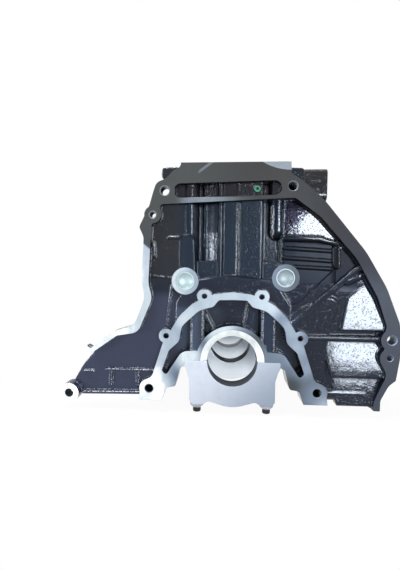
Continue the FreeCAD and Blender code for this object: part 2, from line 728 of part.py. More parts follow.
def threaded_plug(d, t, socket_across):
    # Plug along +Y from its outer face, with a hexagon socket
    corner = socket_across / math.sqrt(3)
    points = [Vec(corner * math.cos(math.radians(a)), -1, corner * math.sin(math.radians(a)))
              for a in range(0, 360, 60)]
    socket = Part.Face(Part.makePolygon(points + points[:1])).extrude(Vec(0, 1 + 0.5 * t, 0))
    return bar_y(0, 0, d / 2, 0, t).cut(socket)


def filter_stud():
    x0 = filter_pad_x - filter_stud_stand
    x1 = filter_pad_x + filter_stud_seat
    free_end = bar_x(filter_y, filter_z, filter_stud_d / 2, x0, filter_pad_x)
    seated_end = bar_x(filter_y, filter_z, filter_stud_seat_d / 2, filter_pad_x, x1)
    return free_end.fuse(seated_end).cut(bar_x(filter_y, filter_z, filter_stud_bore_d / 2, x0 - 1, x1 + 1))


def deck_dowel(x, y):
    # Ring dowel round a head bolt, a little slimmer where it stands out into the cylinder head
    z0 = deck_z - deck_dowel_seat
    z1 = deck_z + deck_dowel_stand
    free_end = bar_z(x, y, deck_dowel_d / 2 - deck_dowel_relief, deck_z, z1)
    seated_end = bar_z(x, y, deck_dowel_d / 2, z0, deck_z)
    return free_end.fuse(seated_end).cut(bar_z(x, y, head_bolt_hole_d / 2, z0 - 1, z1 + 1))


def timing_dowel(x, z):
    y1 = front_face_y + timing_dowel_stand
    free_end = bar_y(x, z, timing_dowel_d / 2, front_face_y, y1)
    tip = [e for e in free_end.Edges if e.BoundBox.YMin > y1 - 0.1]
    seated_end = bar_y(x, z, timing_dowel_seat_d / 2, front_face_y - timing_dowel_seat, front_face_y)
    return free_end.makeChamfer(0.8, tip).fuse(seated_end)


def drain_plug():
    # Hexagon-headed plug along +Y from the underside of its head
    corner = drain_head_across / math.sqrt(3)
    points = [Vec(corner * math.cos(math.radians(a)), -drain_head_h, corner * math.sin(math.radians(a)))
              for a in range(0, 360, 60)]
    head = Part.Face(Part.makePolygon(points + points[:1])).extrude(Vec(0, drain_head_h - 1.5, 0))
    collar = bar_y(0, 0, drain_boss_r - 0.7, -1.5, 0)
    shank = bar_y(0, 0, drain_thread_d / 2, 0, drain_boss_x - outer_r + jacket_flat_gap)
    return joined([head, collar, shank])


def all_parts():
    parts = {"cylinder_block": cylinder_block()}
    for number, (centre, width) in enumerate(mains, 1):
        parts["main_bearing_cap_%d" % number] = main_bearing_cap(centre, width)
    parts["main_cap_bolts"] = Part.makeCompound(
        [cap_bolt(side * cap_bolt_x, centre) for centre, width in mains for side in (-1, 1)])
    rear_plug = cup_plug(core_plug_d, core_plug_wall, core_plug_depth)
    for name, (x, z) in (("left", left_core), ("right", right_core)):
        parts["rear_core_plug_" + name] = placed(rear_plug, Vec(x, core_boss_y + 0.8, z))
    side_plug = cup_plug(side_core_plug_d, 2.0, 8.0)
    for name, side, ys in (("left", -1, cylinder_ys[:3]), ("right", 1, cylinder_ys[1:])):
        for number, y in enumerate(ys, 1):
            at = Vec(side * (side_core_face_x - 1), y, side_core_z)
            parts["core_plug_%s_%d" % (name, number)] = placed(side_plug, at, 90 * side)
    x, z = passage_plug_at
    parts["oil_passage_plug"] = placed(threaded_plug(passage_plug_d, passage_plug_t, 3.0),
                                       Vec(x, drain_face_y - 0.4, z))
    parts["gallery_plug"] = placed(threaded_plug(gallery_bore_d, gallery_plug_t, 6.0),
                                   Vec(gallery_x, front_face_y, gallery_z), 180)
    parts["oil_filter_stud"] = filter_stud()
    parts["coolant_drain_plug"] = placed(drain_plug(), Vec(drain_boss_x, drain_y, drain_z), 90)
    parts["deck_dowels"] = Part.makeCompound([deck_dowel(x, y) for x, y in deck_dowels_at])
    parts["timing_dowels"] = Part.makeCompound([timing_dowel(x, z) for x, z in timing_dowels_at])
    return parts


def main():
    os.makedirs("parts", exist_ok=True)
    for name, shape in all_parts().items():
        shape.exportStep("parts/%s.step" % name)
        print(name, len(shape.Solids), len(shape.Faces), shape.isValid(), round(shape.Volume))


main()
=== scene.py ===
import math
import bpy
from mathutils import Matrix, Vector


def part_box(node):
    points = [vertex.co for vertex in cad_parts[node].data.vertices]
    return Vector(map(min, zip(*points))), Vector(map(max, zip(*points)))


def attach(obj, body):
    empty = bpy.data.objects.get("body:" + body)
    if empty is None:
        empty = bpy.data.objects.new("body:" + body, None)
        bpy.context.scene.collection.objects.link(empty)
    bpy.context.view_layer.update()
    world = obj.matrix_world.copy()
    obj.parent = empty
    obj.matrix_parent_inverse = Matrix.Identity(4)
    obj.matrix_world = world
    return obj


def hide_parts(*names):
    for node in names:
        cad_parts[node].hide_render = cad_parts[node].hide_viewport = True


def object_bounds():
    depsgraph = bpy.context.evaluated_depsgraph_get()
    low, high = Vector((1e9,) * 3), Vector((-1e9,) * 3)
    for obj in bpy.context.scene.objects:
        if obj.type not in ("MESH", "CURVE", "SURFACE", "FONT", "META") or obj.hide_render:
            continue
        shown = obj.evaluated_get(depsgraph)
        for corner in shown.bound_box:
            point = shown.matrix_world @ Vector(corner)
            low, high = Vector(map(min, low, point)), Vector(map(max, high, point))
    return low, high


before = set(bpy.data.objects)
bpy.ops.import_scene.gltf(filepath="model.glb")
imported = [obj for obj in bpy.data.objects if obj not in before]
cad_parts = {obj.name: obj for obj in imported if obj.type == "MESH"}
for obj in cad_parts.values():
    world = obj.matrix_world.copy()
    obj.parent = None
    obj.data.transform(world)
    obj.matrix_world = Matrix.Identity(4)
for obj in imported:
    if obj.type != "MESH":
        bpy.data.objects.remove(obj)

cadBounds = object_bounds()


class Sock:
    # wraps a node socket, so that a mask can be written as a sum
    def __init__(self, tree, out):
        self.tree = tree
        self.out = out

    def math(self, operation, other=None, flip=False):
        node = self.tree.nodes.new("ShaderNodeMath")
        node.operation = operation
        terms = [self] if other is None else [self, other]
        for slot, term in zip(node.inputs, reversed(terms) if flip else terms):
            if isinstance(term, Sock):
                self.tree.links.new(term.out, slot)
            else:
                slot.default_value = term
        return Sock(self.tree, node.outputs[0])

    def __add__(self, other):
        return self.math("ADD", other)

    def __radd__(self, other):
        return self.math("ADD", other, True)

    def __sub__(self, other):
        return self.math("SUBTRACT", other)

    def __rsub__(self, other):
        return self.math("SUBTRACT", other, True)

    def __mul__(self, other):
        return self.math("MULTIPLY", other)

    def __rmul__(self, other):
        return self.math("MULTIPLY", other, True)

    def __truediv__(self, other):
        return self.math("DIVIDE", other)

    def __lt__(self, other):
        return self.math("LESS_THAN", other)

    def __gt__(self, other):
        return self.math("GREATER_THAN", other)

    def __or__(self, other):
        return self.math("MAXIMUM", other)

    def __and__(self, other):
        return self.math("MINIMUM", other)

    def node(self, kind, settings=None, inputs=None):
        # any other node: its settings first, then the values or links of its sockets
        made = self.tree.nodes.new(kind)
        for name, value in (settings or {}).items():
            if name == "stops":
                ramp = made.color_ramp
                while len(ramp.elements) < len(value):
                    ramp.elements.new(0.5)
                for element, (place, colour) in zip(ramp.elements, value):
                    element.position = place
                    element.color = colour
            else:
                setattr(made, name, value)
        for name, value in (inputs or {}).items():
            if isinstance(value, Sock):
                self.tree.links.new(value.out, made.inputs[name])
            else:
                made.inputs[name].default_value = value
        return made

    def ramp(self, low, high):
        # 0 below low, 1 above high, smooth between; low over high turns it round
        ends = {"Value": self, "From Min": min(low, high), "From Max": max(low, high)}
        made = self.node("ShaderNodeMapRange", {"interpolation_type": "SMOOTHSTEP"}, ends)
        risen = Sock(self.tree, made.outputs[0])
        return risen if low < high else 1 - risen

    def near(self, middle, reach):
        return (self - middle).math("ABSOLUTE") < reach

    def wave(self, length):
        return (self * (2 * math.pi / length)).math("SINE")


class Place:
    # a shaded point, its object coordinates in millimetres and the true normal there
    def __init__(self, point, coordinates, normal):
        self.point = point
        self.x, self.y, self.z = coordinates
        self.nx, self.ny, self.nz = normal


def newMaterial(name):
    # a material with its Principled shader, a start for its nodes and the place that is shaded
    material = bpy.data.materials.new(name)
    material.use_nodes = True
    tree = material.node_tree
    shader = tree.nodes["Principled BSDF"]
    start = Sock(tree, None)
    where = start.node("ShaderNodeTexCoord").outputs["Object"]
    scaled = start.node("ShaderNodeVectorMath", {"operation": "SCALE"},
                        {0: Sock(tree, where), "Scale": 1000.0})
    point = Sock(tree, scaled.outputs[0])
    split = start.node("ShaderNodeSeparateXYZ", None, {0: point})
    geometry = start.node("ShaderNodeNewGeometry")
    faces = start.node("ShaderNodeSeparateXYZ", None, {0: Sock(tree, geometry.outputs["True Normal"])})
    at = Place(point, [Sock(tree, o) for o in split.outputs], [Sock(tree, o) for o in faces.outputs])
    return material, shader, start, at


def noise(start, point, size, detail=3.0, roughness=0.55, stretch=(1, 1, 1)):
    # cloudy value from 0 to 1, whose features are about as many millimetres wide as size says
    moved = start.node("ShaderNodeMapping", None, {"Vector": point, "Scale": stretch})
    made = start.node("ShaderNodeTexNoise", None, {"Vector": Sock(start.tree, moved.outputs[0]),
                                                   "Scale": 1.0 / size, "Detail": detail,
                                                   "Roughness": roughness})
    return Sock(start.tree, made.outputs[0])


def mixColour(start, factor, first, second, blend="MIX"):
    made = start.node("ShaderNodeMix", {"data_type": "RGBA", "blend_type": blend})
    for slot, value in ((0, factor), (6, first), (7, second)):
        if isinstance(value, Sock):
            start.tree.links.new(value.out, made.inputs[slot])
        else:
            made.inputs[slot].default_value = value
    return Sock(start.tree, made.outputs[2])


def mixValue(start, factor, first, second):
    made = start.node("ShaderNodeMix", {"data_type": "FLOAT"}, {0: factor, 2: first, 3: second})
    return Sock(start.tree, made.outputs[0])


def setLink(start, shader, name, value):
    start.tree.links.new(value.out, shader.inputs[name])


def setBump(start, shader, height, round=None):
    # height in millimetres; round is the radius in metres to which sharp edges look worn
    inputs = {"Height": height, "Distance": 0.001, "Strength": 1.0}
    if round is not None:
        rounded = start.node("ShaderNodeBevel", {"samples": 6}, {"Radius": round})
        inputs["Normal"] = Sock(start.tree, rounded.outputs[0])
    bump = start.node("ShaderNodeBump", None, inputs)
    start.tree.links.new(bump.outputs[0], shader.inputs["Normal"])


def distance(a, b, p, q):
    # how far the point (a, b) lies from (p, q)
    return ((a - p) * (a - p) + (b - q) * (b - q)).math("SQRT")


blockSizes = {
    # millimetres, but for the radii in metres; black paint, then places where it is tinted, the paler ones
    # painted reflection and the dark slot painted shade: two ranges over which a place comes in, then its
    # colour
    "paint": (0.004, 0.006, 0.017, 1),
    "paintTintsLightAndShade": ((("x", 60, 45), ("z", 78, 95), (0.003, 0.0095, 0.021, 1)),
                    (("x", -48, -62), ("z", 70, 95), (0.0105, 0.011, 0.0145, 1)),
                    (("x", -15, -75), ("z", 76, 40), (0.027, 0.032, 0.060, 1)),
                    (("x", -4, -18), ("z", 58, 50), (0.018, 0.026, 0.042, 1)),
                    (("x", 0, 20), ("z", 56, 46), (0.009, 0.017, 0.038, 1)),
                    (("x", -30, -44), ("z", 58, 50), (0.039, 0.055, 0.094, 1)),
                    (("x", -56, -64), ("z", 75, 62), (0.027, 0.032, 0.060, 1)),
                    (("x", 62, 72), ("z", 66, 58), (0.005, 0.007, 0.015, 1)),
                    (("x", 62, 72), ("z", 88, 100), (0.0085, 0.0085, 0.013, 1)),
                    (("x", 70, 80), ("z", 135, 150), (0.012, 0.010, 0.009, 1)),
                    (("z", 190, 186), ("z", 167, 170), (0.006, 0.004, 0.007, 1))),
    "paintShine": 0.36,
    "paintTint": (0.78, 0.87, 1.0, 1),
    # roughness of the paint, cloudy, and lower on the right
    "paintRough": 0.09,
    "glossyRough": 0.05,
    "glossyX": (58.0, 66.0),
    "cloudSize": 22.0,
    "cloudRange": (0.45, 0.8),
    "cloudRough": 0.08,
    "glossyCloudRough": 0.02,
    # matt places on the gearbox side, whose paint is also made darker and partly metallic as painted shade,
    # each a middle and a reach in x and in z where nothing else is said
    "sideY": 60.0,
    "square": 0.98,
    "dullPlace": (("x", 97.0, 107.0), ("z", 70.0, 82.0)),
    "dullEnds": (126.0, 118.0),
    "dullRough": 0.38,
    "ridgesX": (78.0, 27.0),
    "ridgesFloor": 82.0,
    "beadSlope": 0.15,
    "beadTop": 138.5,
    "padRough": 0.30,
    "padX": (78.0, 27.0),
    "padZ": (102.0, 20.0),
    "padSmooth": 0.8,
    "barrelBox": ((-1.0, 56.0), (126.0, 40.0)),
    "barrelRough": 0.26,
    "flakyBox": ((-25.0, 9.0), (114.0, 20.0)),
    "mattShare": 0.75,
    "mattShadePaint": (0.003, 0.0045, 0.007, 1),
    # part of the web above the pad painted dark as painted shade, over a slanting speckled line
    "shadeSlope": 1.486,
    "shadeHeight": 46.6,
    "shadeX": (51.0, 53.0),
    "shadeZ": (147.0, 19.0),
    "speckSize": 1.4,
    "speckReach": 60.0,
    "shadePaint": (0.003, 0.003, 0.005, 1),
    # how strongly pale painted glints show as dots on the edges: two ranges over which a place comes in, then
    # the strength
    "glintLevel": 0.05,
    "glintPlaces": ((("z", 86, 80), ("x", 66, 60), 0.50),
                   (("x", -58, -66), ("z", 82, 76), 0.85),
                   (("x", -54, -60), ("z", 84, 90), 0.80),
                   (("x", -60, -54), ("z", 134, 158), 0.75),
                   (("x", -60, -54), ("z", 118, 122), 0.22),
                   (("x", 24, 30), ("z", 84, 160), 0.35),
                   (("x", 34, 40), ("z", 120, 128), 0.75),
                   (("x", 48, 52), ("z", 210, 205), 0.10),
                   (("z", 70, 62), ("x", 66, 58), 0.70),
                   (("x", -66, -72), ("z", 70, 62), 0.85),
                   (("z", 160, 162), ("z", 187, 184), 0.0)),
    "betweenBox": ((5.0, 7.0), (127.5, 38.0)),
    "betweenGlint": 0.80,
    "glintColour": (0.66, 0.70, 0.76, 1),
    "glintRadius": 0.0018,
    "glintFrom": 2.0,
    "turnedUp": (0.30, 0.50),
    "turnedAside": (0.35, 0.55),
    "notFlat": (0.92, 0.80),
    "towards": (-0.2, -0.4),
    "asideShare": 0.8,
    "dotSize": 1.25,
    "dotRange": (0.48, 0.55),
    # cast skin: sizes and heights of its grain, pits and lumps, and the coarser skin of the barrels
    "grainSize": 1.5,
    "grainHeight": 0.036,
    "pitSize": 1.7,
    "pitRange": (0.60, 0.70),
    "pitDepth": 0.055,
    "lumpSize": 9.0,
    "lumpHeight": 0.09,
    "coarseSize": 3.0,
    "barrelSides": ((62.0, 50.0), (-62.0, -50.0)),
    "barrelFoot": (78.0, 86.0),
    "barrelHeight": 0.16,
    "flakyHeight": 0.22,
    "castRadius": 0.0024,
    "cutRadius": 0.0006,
    # cutter marks: middle of the deck's sweep, spacing; hone marks: slope, spacing; heights
    "sweepMiddle": (-30.0, -420.0),
    "sweepSpacing": 1.1,
    "honeSlope": 1.2,
    "honeSpacing": 1.3,
    "markHeight": 0.004,
    "smearHeight": 0.01,
    # milled planes and bores, and how far off one a point still counts
    "flat": 0.9,
    "slack": 0.3,
    "deckZ": 203.0,
    "panZ": -42.7,
    "timingY": 366.0,
    "padsX": (-103.9, 96.9),
    "sideBossX": (53.0, 0.5),
    "sideBossZ": (128.0, 21.0),
    "sideBossFrom": 70.0,
    "boreR": 37.0,
    "mainR": 26.0,
    "boreSlack": 0.25,
    "boreFloor": 58.0,
    "firstCylinder": 57.0,
    "pitch": 84.0,
    "cylinders": 4,
    "bankSlack": 1.0,
    "bevelR": 33.8,
    "bevelDepth": 5.2,
    "jointZ": (-2.8, 3.1),
    "jointHalf": 56.0,
    # ring bosses of the core plugs: x, z, tone at the left edge, tone at the right edge; the darker right
    # edges are painted shade
    "coreBosses": ((-49.9, 83.0, 0.80, 0.56), (53.5, 87.3, 0.38, 0.25)),
    # drilled holes of the gearbox face: x, z, radius of the mouth
    "holes": ((-70.8, 175.1, 5.4), (57.9, 179.1, 5.2), (159.1, 26.0, 5.4), (-173.6, -38.0, 4.8),
              (-83.2, 150.9, 4.2), (157.6, 7.8, 3.6), (29.3, 67.7, 3.0), (-29.3, 67.7, 3.0),
              (69.0, 25.7, 3.2), (-69.0, 25.7, 3.2), (87.0, -30.5, 4.9), (-87.0, -30.5, 4.9)),
    "coreBossR": 14.2,
    "coreRingR": 15.0,
    "coreRingY": (3.0, 4.4),
    "coreRingFade": 12.0,
    "holeSlack": 0.1,
    "holeY": (1.3, 16.5),
    "wallOutside": 40.0,
    "wallFacing": -0.5,
    "wallLight": (0.8, -0.6),
    "wallRange": (0.1, 0.8),
    "wallShade": (0.02, 0.022, 0.026, 1),
    "wallLit": (0.50, 0.54, 0.58, 1),
    # tone of the milled rim, darker at the top as painted shade; of its left side and of the tab at the lower
    # left, both paler as painted light
    "rimTone": 0.16,
    "rimUpper": (70.0, 110.0),
    "rimLift": 0.03,
    "rimDarker": (((-60.0, 30.0), 0.07), ((60.0, 100.0), 0.02)),
    "leftSlope": 0.8,
    "leftHeight": 47.0,
    "leftBlend": (1.5, -1.5),
    "leftX": (-70.0, -76.0),
    "leftTone": 0.67,
    "leftLowZ": (112.0, 90.0),
    "leftLowLift": 0.09,
    "leftBand": (("x", -90.0, -95.0), ("z", 62.0, 70.0)),
    "leftBandLift": 0.08,
    "tab": (("x", -98.0, -110.0), ("z", 50.0, 30.0)),
    "tabTone": 0.88,
    "tabEnd": (-150.0, -160.0),
    "tabLift": 0.12,
    # tone of the seal flange, in pools of painted light and painted shade: x, z, reach, tone
    "sealHalf": 100.0,
    "sealTop": 74.5,
    "poolCore": 0.2,
    "paintedPools": ((-15, 66, 70, 0.67), (-50, 44, 26, 0.75), (-64, 26, 20, 0.63), (-76, 10, 30, 0.70),
              (-84, -30, 40, 0.92), (-46, 4, 26, 0.82), (-14, 34, 24, 0.80), (34, 62, 34, 0.70),
              (60, 34, 26, 0.52), (44, 4, 34, 0.38), (66, 12, 22, 0.53), (74, -4, 22, 0.45),
              (88, -34, 30, 0.42), (96, -46, 16, 0.58)),
    # painted light on the milled faces: bar over the slot; corner above a parabola: x, z, bend, first x;
    # slanted streak: x, z, slope, floor
    "slotBarZ": (162.5, 6.0),
    "slotBarX": ((-62.0, -44.0), (30.0, -30.0)),
    "slotBarTone": 0.42,
    "corner": (55.0, 195.0, 0.0104, 28.0),
    "streak": (31.0, 197.3, 0.725, 190.0),
    "streakHalf": 1.6,
    "streakX": ((-38.0, -35.0), (-18.0, -21.0)),
    "streakShare": 0.6,
    "cornerTone": 0.45,
    "otherTone": 0.5,
    "bevelTone": 0.96,
    "toneStops": ((0.0, (0.019, 0.019, 0.022, 1)), (0.20, (0.047, 0.056, 0.063, 1)),
                  (0.4, (0.118, 0.150, 0.200, 1)), (0.6, (0.25, 0.305, 0.37, 1)),
                  (0.8, (0.42, 0.48, 0.53, 1)), (1.0, (0.90, 0.95, 0.95, 1))),
    "warmPlace": (("z", 110.0, 150.0), ("x", 90.0, 50.0)),
    "warmTint": (1.10, 1.02, 0.92, 1),
    "blueX": (90.0, 140.0),
    "blueTint": (1.0, 1.0, 1.16, 1),
    "metalShare": 0.7,
    "metalRough": 0.50,
    # mottle and upright smears of the milled iron, and what each does to its tone and roughness
    "mottleSize": 14.0,
    "smearSize": 5.0,
    "smearStretch": (1.0, 1.0, 0.15),
    "toneBase": 0.80,
    "toneMottle": 0.30,
    "toneSmear": 0.10,
    "roughMottle": 0.12,
}


def inPlace(at, first, second):
    # product of two ramps, each given as its coordinate, where it starts and where it is full
    (name1, low1, high1), (name2, low2, high2) = first, second
    return getattr(at, name1).ramp(low1, high1) * getattr(at, name2).ramp(low2, high2)


def inBox(at, xs, zs):
    # 1 inside a box seen from the gearbox end, given as middle and reach in x and in z
    return at.x.near(*xs) * at.z.near(*zs)


def inSpan(value, rise, fall):
    # rises over one range and falls over the other
    return value.ramp(*rise) * value.ramp(*fall)


def machinedFaces(at):
    # where the cutters went: flat faces first, then the bores; "bare" is all of it
    s = blockSizes
    x, y, z = at.x, at.y, at.z
    flat = s["flat"]
    slack = s["slack"]
    ax = x.math("ABSOLUTE")
    rear = (at.ny < -flat) & (y < slack)
    deck = (at.nz > flat) & (z > s["deckZ"] - slack)
    pan = (at.nz < -flat) & (z < s["panZ"] + slack)
    timing = (at.ny > flat) & (y > s["timingY"] - slack)
    left, right = s["padsX"]
    pads = ((at.nx > flat) & (x > right)) | ((at.nx < -flat) & (x < left))
    sideBosses = (at.nx.math("ABSOLUTE") > flat) & ax.near(*s["sideBossX"]) & z.near(*s["sideBossZ"])
    sideBosses = sideBosses & (y > s["sideBossFrom"])
    fromFirst = y - s["firstCylinder"]
    halfPitch = s["pitch"] / 2
    alongBore = (fromFirst + halfPitch).math("FLOORED_MODULO", s["pitch"]) - halfPitch
    boreR = (x * x + alongBore * alongBore).math("SQRT")
    bankHalf = s["cylinders"] * halfPitch - s["bankSlack"]
    inBank = fromFirst.near((s["cylinders"] - 1) * halfPitch, bankHalf)
    bores = (boreR < s["boreR"] + s["boreSlack"]) & (z > s["boreFloor"]) & inBank
    mainR = (x * x + z * z).math("SQRT")
    mains = mainR < s["mainR"] + s["boreSlack"]
    bevel = (mainR < s["bevelR"]) & (y < s["bevelDepth"])
    joint = (at.nz < -flat) & z.near(*s["jointZ"]) & (ax < s["jointHalf"])
    bare = rear | deck | pan | timing | pads | sideBosses | bores | mains | bevel | joint
    for cx, cz, *_ in s["coreBosses"]:
        bare = bare | ((distance(x, z, cx, cz) < s["coreBossR"]) & (at.ny < -flat) & (y < s["coreRingY"][1]))
    for cx, cz, r in s["holes"]:
        bare = bare | ((distance(x, z, cx, cz) < r + s["holeSlack"]) & (y < s["holeY"][1]))
    return {"rear": rear, "deck": deck, "bores": bores, "bevel": bevel, "bare": bare,
            "alongBore": alongBore, "mainR": mainR}


def milledPaintedLight(start, at, faces, mottle, smear):
    # tone of the milled iron with light and shade painted in: dark on the top and right, pale low on the left
    # and round the bearing
    s = blockSizes
    x, y, z = at.x, at.y, at.z
    upper = z.ramp(*s["rimUpper"])
    tone = s["rimTone"] + upper * s["rimLift"]
    for span, darker in s["rimDarker"]:
        tone = mixValue(start, upper * x.ramp(*span), tone, darker)
    leftRim = (z + x * s["leftSlope"] - s["leftHeight"]).ramp(*s["leftBlend"]) * x.ramp(*s["leftX"])
    leftTone = s["leftTone"] + z.ramp(*s["leftLowZ"]) * s["leftLowLift"]
    leftTone = leftTone + inPlace(at, *s["leftBand"]) * s["leftBandLift"]
    tone = mixValue(start, leftRim, tone, leftTone)
    sealTone = tone
    # pools of painted light and painted shade on the seal flange
    for cx, cz, reach, level in s["paintedPools"]:
        pool = distance(x, z, cx, cz).ramp(reach, reach * s["poolCore"])
        sealTone = mixValue(start, pool, sealTone, level)
    seal = (x.math("ABSOLUTE") < s["sealHalf"]) & (z < s["sealTop"])
    tone = mixValue(start, seal, tone, sealTone)
    tabTone = s["tabTone"] + x.ramp(*s["tabEnd"]) * s["tabLift"]
    tone = mixValue(start, inPlace(at, *s["tab"]), tone, tabTone)
    slotBar = z.near(*s["slotBarZ"]) * inSpan(x, *s["slotBarX"])
    tone = mixValue(start, slotBar, tone, s["slotBarTone"])
    cx, cz, bend, firstX = s["corner"]
    corner = (z > (cx - x) * (cx - x) * bend + cz) * (x > firstX)
    cx, cz, slope, floor = s["streak"]
    streak = (z - (x + cx) * slope - cz).near(0.0, s["streakHalf"]) * (z > floor) * inSpan(x, *s["streakX"])
    tone = mixValue(start, corner | streak * s["streakShare"], tone, s["cornerTone"])
    tone = mixValue(start, faces["rear"] | faces["bevel"], s["otherTone"], tone)
    tone = mixValue(start, faces["bevel"] & (y > s["slack"]), tone, s["bevelTone"])
    low, high = s["coreRingY"]
    fade = s["coreRingFade"]
    for cx, cz, leftTone, rightTone in s["coreBosses"]:
        ring = (distance(x, z, cx, cz) < s["coreRingR"]) & (y < high) & (y > low)
        tone = mixValue(start, ring, tone, mixValue(start, (x - cx).ramp(-fade, fade), leftTone, rightTone))
    return tone * (s["toneBase"] + mottle * s["toneMottle"] + smear * s["toneSmear"])


def ironColour(start, at, faces, tone):
    # colour for the tone, warmer at the top and bluer on the right, and the walls of the drilled holes,
    # painted lit where they face down and to the left and painted in shade elsewhere
    s = blockSizes
    metal = start.node("ShaderNodeValToRGB", {"stops": s["toneStops"]}, {0: tone})
    metal = Sock(start.tree, metal.outputs["Color"])
    metal = mixColour(start, inPlace(at, *s["warmPlace"]), metal, s["warmTint"], "MULTIPLY")
    metal = mixColour(start, at.x.ramp(*s["blueX"]), metal, s["blueTint"], "MULTIPLY")
    low, high = s["holeY"]
    drilled = (faces["bare"] - faces["rear"]).math("MAXIMUM", 0.0) & (at.y > low) & (at.y < high)
    drilled = drilled & (faces["mainR"] > s["wallOutside"]) & (at.ny > s["wallFacing"])
    # painted light and painted shade on the hole walls
    lightX, lightZ = s["wallLight"]
    lit = (at.nz * lightZ - at.nx * lightX).ramp(*s["wallRange"])
    return mixColour(start, drilled, metal, mixColour(start, lit, s["wallShade"], s["wallLit"]))


def paintColour(start, at):
    # black paint that looks bluer, browner or paler from place to place; the paler places are painted
    # reflection and the dark slot is painted shade
    s = blockSizes
    colour = s["paint"]
    for first, second, there in s["paintTintsLightAndShade"]:
        colour = mixColour(start, inPlace(at, first, second), colour, there)
    return colour


def paintedEdgeGlints(start, at):
    # painted glints: pale dots along the cast edges that face up or aside, on the gearbox side
    s = blockSizes
    rounded = start.node("ShaderNodeBevel", {"samples": 6}, {"Radius": s["glintRadius"]})
    turned = start.node("ShaderNodeSeparateXYZ", None, {0: Sock(start.tree, rounded.outputs[0])})
    bx, by, bz = (Sock(start.tree, o) for o in turned.outputs)
    towards = by.ramp(*s["towards"])
    up = inSpan(bz, s["turnedUp"], s["notFlat"]) * towards
    aside = inSpan(bx.math("ABSOLUTE"), s["turnedAside"], s["notFlat"]) * towards
    dots = noise(start, at.point, s["dotSize"], 1.0, 0.5).ramp(*s["dotRange"])
    strength = s["glintLevel"]
    for first, second, level in s["glintPlaces"]:
        strength = mixValue(start, inPlace(at, first, second), strength, level)
    strength = mixValue(start, inBox(at, *s["betweenBox"]), strength, s["betweenGlint"])
    return (up | aside * s["asideShare"]) * dots * strength * (at.y > s["glintFrom"]) * (at.y < s["sideY"])


def shadedWeb(start, at):
    # the web above the pad is painted dark as painted shade above a slanting, speckled line, and shines only
    # below it
    s = blockSizes
    speck = noise(start, at.point, s["speckSize"], 1.0, 0.5) - 0.5
    over = at.z - at.x * s["shadeSlope"] - s["shadeHeight"] + speck * s["speckReach"]
    shaded = over.ramp(-1.0, 1.0) * at.x.ramp(*s["shadeX"]) * at.z.near(*s["shadeZ"])
    return shaded * (at.ny < -s["flat"]) * (at.y < s["sideY"])


def paintGloss(start, at, glinted):
    # roughness of the paint, and how matt it is; the matt places also get a darker paint as painted shade
    s = blockSizes
    x, z = at.x, at.z
    onSide = at.y < s["sideY"]
    right = x.ramp(*s["glossyX"])
    cloudy = noise(start, at.point, s["cloudSize"], 3.0).ramp(*s["cloudRange"])
    cloudy = cloudy * mixValue(start, right, s["cloudRough"], s["glossyCloudRough"])
    rough = mixValue(start, right, s["paintRough"], s["glossyRough"]) + cloudy
    endX, endZ = s["dullEnds"]
    dull = inPlace(at, *s["dullPlace"]) * (z < endZ) * (x < endX) * (at.ny < -s["square"])
    ridges = x.near(*s["ridgesX"]) * (z > s["ridgesFloor"]) * (z + x * s["beadSlope"] < s["beadTop"])
    barrels = inBox(at, *s["barrelBox"]) * onSide * (at.ny > -s["square"]) * (1 - inBox(at, *s["flakyBox"]))
    rough = rough + (dull * s["dullRough"] + ridges * s["padRough"]) * onSide
    rough = rough + barrels * s["barrelRough"]
    return rough, (dull | ridges | barrels) * onSide * (1 - glinted) * s["mattShare"]


def surfaceHeight(start, at, faces, smear, onPad):
    # cast skin under the paint, cutter marks on the bare faces, crossed hone marks in the bores
    s = blockSizes
    grain = noise(start, at.point, s["grainSize"], 2.0, 0.5)
    pits = noise(start, at.point, s["pitSize"], 1.0, 0.5).ramp(*s["pitRange"])
    lumps = noise(start, at.point, s["lumpSize"], 1.0, 0.4)
    coarse = noise(start, at.point, s["coarseSize"], 2.0, 0.6)
    coarse = coarse * (s["barrelHeight"] + inBox(at, *s["flakyBox"]) * s["flakyHeight"])
    barrels = inSpan(at.x, *s["barrelSides"]) * at.z.ramp(*s["barrelFoot"])
    skin = grain * s["grainHeight"] + lumps * s["lumpHeight"] - pits * s["pitDepth"] + barrels * coarse
    skin = skin * (1 - faces["bare"]) * (1 - onPad * s["padSmooth"])
    swept = distance(at.x, at.y, *s["sweepMiddle"]).wave(s["sweepSpacing"]) * s["markHeight"] * faces["deck"]
    around = faces["alongBore"].math("ARCTAN2", at.x) * s["boreR"]
    rise = at.z * s["honeSlope"]
    hone = (around + rise).wave(s["honeSpacing"]) + (around - rise).wave(s["honeSpacing"])
    return skin + smear * faces["bare"] * s["smearHeight"] + swept + hone * s["markHeight"] * faces["bores"]


